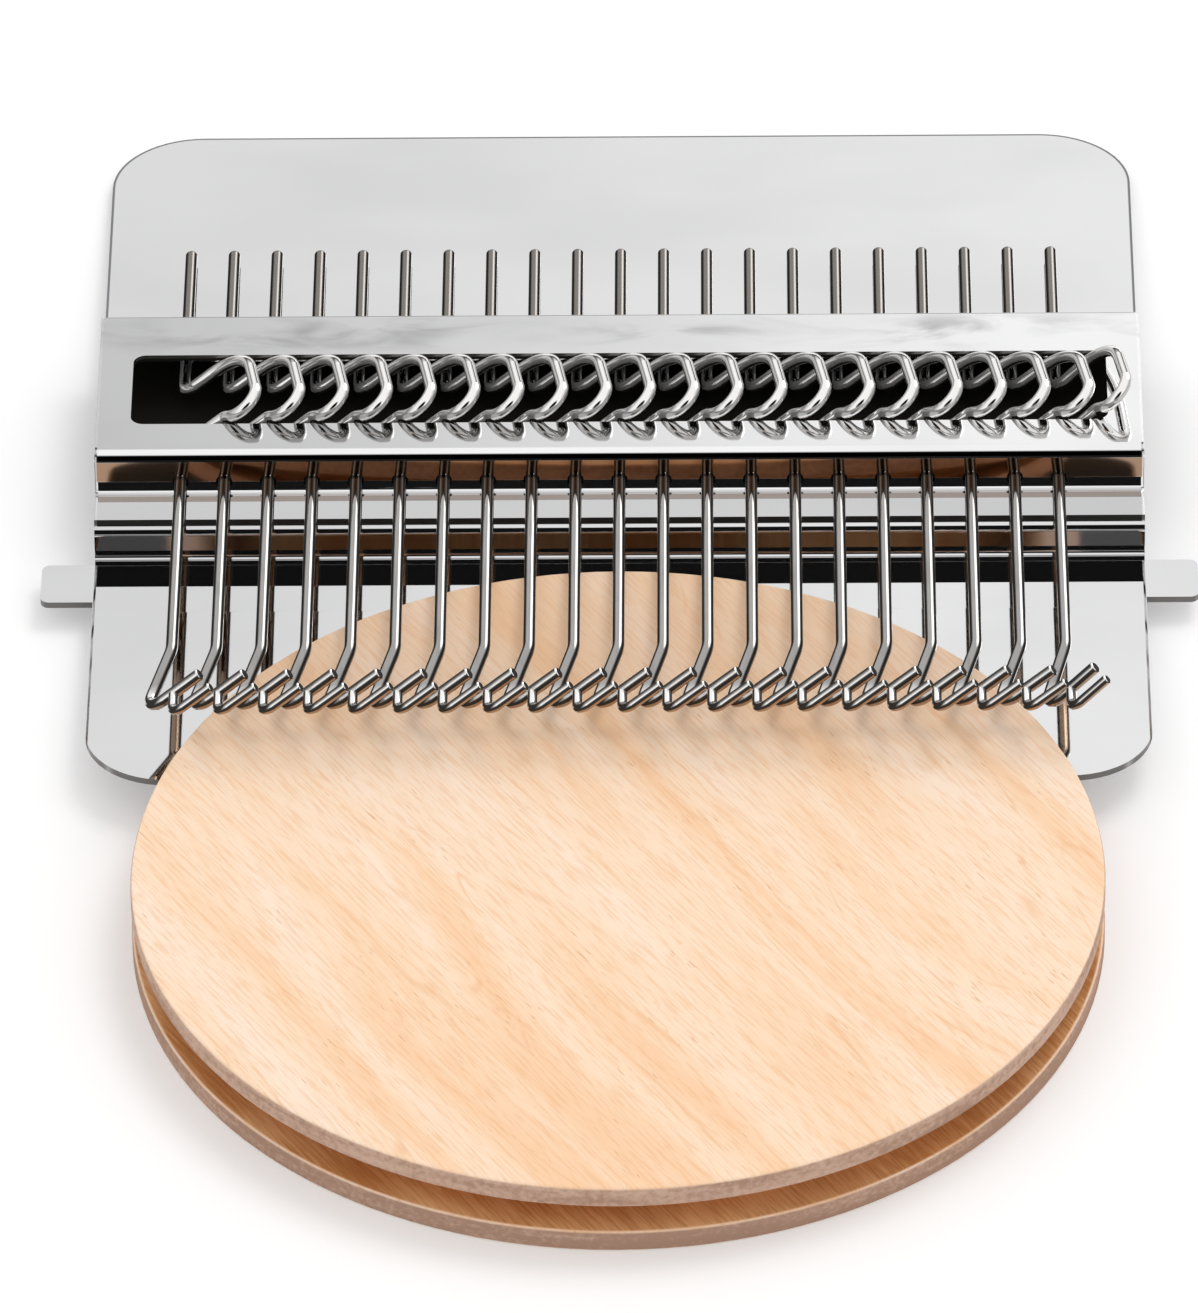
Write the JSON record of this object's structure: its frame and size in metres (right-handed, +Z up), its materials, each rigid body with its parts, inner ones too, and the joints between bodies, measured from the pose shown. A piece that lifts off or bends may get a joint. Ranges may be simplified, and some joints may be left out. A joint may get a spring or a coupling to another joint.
{
  "type": "darning loom",
  "caption": "Small darning loom: a stepped steel plate and slotted channel carry a row of turning wire hooks over a grooved wooden disc that holds the cloth.",
  "frame": {"origin": "centre of the wooden disc's underside, on the table", "axes": "+X to the right, -Y to the front where the cloth lies, +Z up"},
  "size_m": [0.105, 0.1602, 0.0147],
  "materials": {
    "plate_steel": "mirror-polished stainless steel",
    "channel_steel": "mirror-polished stainless steel",
    "hook_wire": "bright drawn steel wire",
    "disc_wood": "sanded, unvarnished"
  },
  "bodies": {
    "loom_frame": {"base_plate": "plate_steel", "hook_channel": "channel_steel"},
    "hook_01_body": {"hook_01": "hook_wire"},
    "hook_02_body": {"hook_02": "hook_wire"},
    "hook_03_body": {"hook_03": "hook_wire"},
    "hook_04_body": {"hook_04": "hook_wire"},
    "hook_05_body": {"hook_05": "hook_wire"},
    "hook_06_body": {"hook_06": "hook_wire"},
    "hook_07_body": {"hook_07": "hook_wire"},
    "hook_08_body": {"hook_08": "hook_wire"},
    "hook_09_body": {"hook_09": "hook_wire"},
    "hook_10_body": {"hook_10": "hook_wire"},
    "hook_11_body": {"hook_11": "hook_wire"},
    "hook_12_body": {"hook_12": "hook_wire"},
    "hook_13_body": {"hook_13": "hook_wire"},
    "hook_14_body": {"hook_14": "hook_wire"},
    "hook_15_body": {"hook_15": "hook_wire"},
    "hook_16_body": {"hook_16": "hook_wire"},
    "hook_17_body": {"hook_17": "hook_wire"},
    "hook_18_body": {"hook_18": "hook_wire"},
    "hook_19_body": {"hook_19": "hook_wire"},
    "hook_20_body": {"hook_20": "hook_wire"},
    "hook_21_body": {"hook_21": "hook_wire"},
    "disc_body": {"wooden_disc": "disc_wood"}
  },
  "joints": [
    {"name": "hook_01_swing", "type": "hinge", "parent": "loom_frame", "child": "hook_01_body", "pos_m": [-0.04, 0.05648, 0.00688], "axis": [0, -0.995, 0.1003], "range_deg": [0, 93.91]},
    {"name": "hook_02_swing", "type": "hinge", "parent": "loom_frame", "child": "hook_02_body", "pos_m": [-0.036, 0.05648, 0.00688], "axis": [0, -0.995, 0.1003], "range_deg": [0, 100]},
    {"name": "hook_03_swing", "type": "hinge", "parent": "loom_frame", "child": "hook_03_body", "pos_m": [-0.032, 0.05648, 0.00688], "axis": [0, -0.995, 0.1003], "range_deg": [0, 100]},
    {"name": "hook_04_swing", "type": "hinge", "parent": "loom_frame", "child": "hook_04_body", "pos_m": [-0.028, 0.05648, 0.00688], "axis": [0, -0.995, 0.1003], "range_deg": [0, 100]},
    {"name": "hook_05_swing", "type": "hinge", "parent": "loom_frame", "child": "hook_05_body", "pos_m": [-0.024, 0.05648, 0.00688], "axis": [0, -0.995, 0.1003], "range_deg": [0, 100]},
    {"name": "hook_06_swing", "type": "hinge", "parent": "loom_frame", "child": "hook_06_body", "pos_m": [-0.02, 0.05648, 0.00688], "axis": [0, -0.995, 0.1003], "range_deg": [0, 100]},
    {"name": "hook_07_swing", "type": "hinge", "parent": "loom_frame", "child": "hook_07_body", "pos_m": [-0.016, 0.05648, 0.00688], "axis": [0, -0.995, 0.1003], "range_deg": [0, 100]},
    {"name": "hook_08_swing", "type": "hinge", "parent": "loom_frame", "child": "hook_08_body", "pos_m": [-0.012, 0.05648, 0.00688], "axis": [0, -0.995, 0.1003], "range_deg": [0, 100]},
    {"name": "hook_09_swing", "type": "hinge", "parent": "loom_frame", "child": "hook_09_body", "pos_m": [-0.008, 0.05648, 0.00688], "axis": [0, -0.995, 0.1003], "range_deg": [0, 100]},
    {"name": "hook_10_swing", "type": "hinge", "parent": "loom_frame", "child": "hook_10_body", "pos_m": [-0.004, 0.05648, 0.00688], "axis": [0, -0.995, 0.1003], "range_deg": [0, 100]},
    {"name": "hook_11_swing", "type": "hinge", "parent": "loom_frame", "child": "hook_11_body", "pos_m": [0, 0.05648, 0.00688], "axis": [0, -0.995, 0.1003], "range_deg": [0, 100]},
    {"name": "hook_12_swing", "type": "hinge", "parent": "loom_frame", "child": "hook_12_body", "pos_m": [0.004, 0.05648, 0.00688], "axis": [0, -0.995, 0.1003], "range_deg": [0, 100]},
    {"name": "hook_13_swing", "type": "hinge", "parent": "loom_frame", "child": "hook_13_body", "pos_m": [0.008, 0.05648, 0.00688], "axis": [0, -0.995, 0.1003], "range_deg": [0, 100]},
    {"name": "hook_14_swing", "type": "hinge", "parent": "loom_frame", "child": "hook_14_body", "pos_m": [0.012, 0.05648, 0.00688], "axis": [0, -0.995, 0.1003], "range_deg": [0, 100]},
    {"name": "hook_15_swing", "type": "hinge", "parent": "loom_frame", "child": "hook_15_body", "pos_m": [0.016, 0.05648, 0.00688], "axis": [0, -0.995, 0.1003], "range_deg": [0, 100]},
    {"name": "hook_16_swing", "type": "hinge", "parent": "loom_frame", "child": "hook_16_body", "pos_m": [0.02, 0.05648, 0.00688], "axis": [0, -0.995, 0.1003], "range_deg": [0, 100]},
    {"name": "hook_17_swing", "type": "hinge", "parent": "loom_frame", "child": "hook_17_body", "pos_m": [0.024, 0.05648, 0.00688], "axis": [0, -0.995, 0.1003], "range_deg": [0, 100]},
    {"name": "hook_18_swing", "type": "hinge", "parent": "loom_frame", "child": "hook_18_body", "pos_m": [0.028, 0.05648, 0.00688], "axis": [0, -0.995, 0.1003], "range_deg": [0, 100]},
    {"name": "hook_19_swing", "type": "hinge", "parent": "loom_frame", "child": "hook_19_body", "pos_m": [0.032, 0.05648, 0.00688], "axis": [0, -0.995, 0.1003], "range_deg": [0, 100]},
    {"name": "hook_20_swing", "type": "hinge", "parent": "loom_frame", "child": "hook_20_body", "pos_m": [0.036, 0.05648, 0.00688], "axis": [0, -0.995, 0.1003], "range_deg": [0, 100]},
    {"name": "hook_21_swing", "type": "hinge", "parent": "loom_frame", "child": "hook_21_body", "pos_m": [0.04, 0.05648, 0.00688], "axis": [0, -0.995, 0.1003], "range_deg": [0, 93.91]},
    {"name": "disc_slide", "type": "slide", "parent": "loom_frame", "child": "disc_body", "axis": [0, -1, 0], "range_m": [0, 0.025]}
  ],
  "couplings": [
    {"joint": "hook_01_swing", "follows": "hook_11_swing", "ratio": 0.93908},
    {"joint": "hook_02_swing", "follows": "hook_11_swing", "ratio": 1},
    {"joint": "hook_03_swing", "follows": "hook_11_swing", "ratio": 1},
    {"joint": "hook_04_swing", "follows": "hook_11_swing", "ratio": 1},
    {"joint": "hook_05_swing", "follows": "hook_11_swing", "ratio": 1},
    {"joint": "hook_06_swing", "follows": "hook_11_swing", "ratio": 1},
    {"joint": "hook_07_swing", "follows": "hook_11_swing", "ratio": 1},
    {"joint": "hook_08_swing", "follows": "hook_11_swing", "ratio": 1},
    {"joint": "hook_09_swing", "follows": "hook_11_swing", "ratio": 1},
    {"joint": "hook_10_swing", "follows": "hook_11_swing", "ratio": 1},
    {"joint": "hook_12_swing", "follows": "hook_11_swing", "ratio": 1},
    {"joint": "hook_13_swing", "follows": "hook_11_swing", "ratio": 1},
    {"joint": "hook_14_swing", "follows": "hook_11_swing", "ratio": 1},
    {"joint": "hook_15_swing", "follows": "hook_11_swing", "ratio": 1},
    {"joint": "hook_16_swing", "follows": "hook_11_swing", "ratio": 1},
    {"joint": "hook_17_swing", "follows": "hook_11_swing", "ratio": 1},
    {"joint": "hook_18_swing", "follows": "hook_11_swing", "ratio": 1},
    {"joint": "hook_19_swing", "follows": "hook_11_swing", "ratio": 1},
    {"joint": "hook_20_swing", "follows": "hook_11_swing", "ratio": 1},
    {"joint": "hook_21_swing", "follows": "hook_11_swing", "ratio": 0.93908}
  ]
}
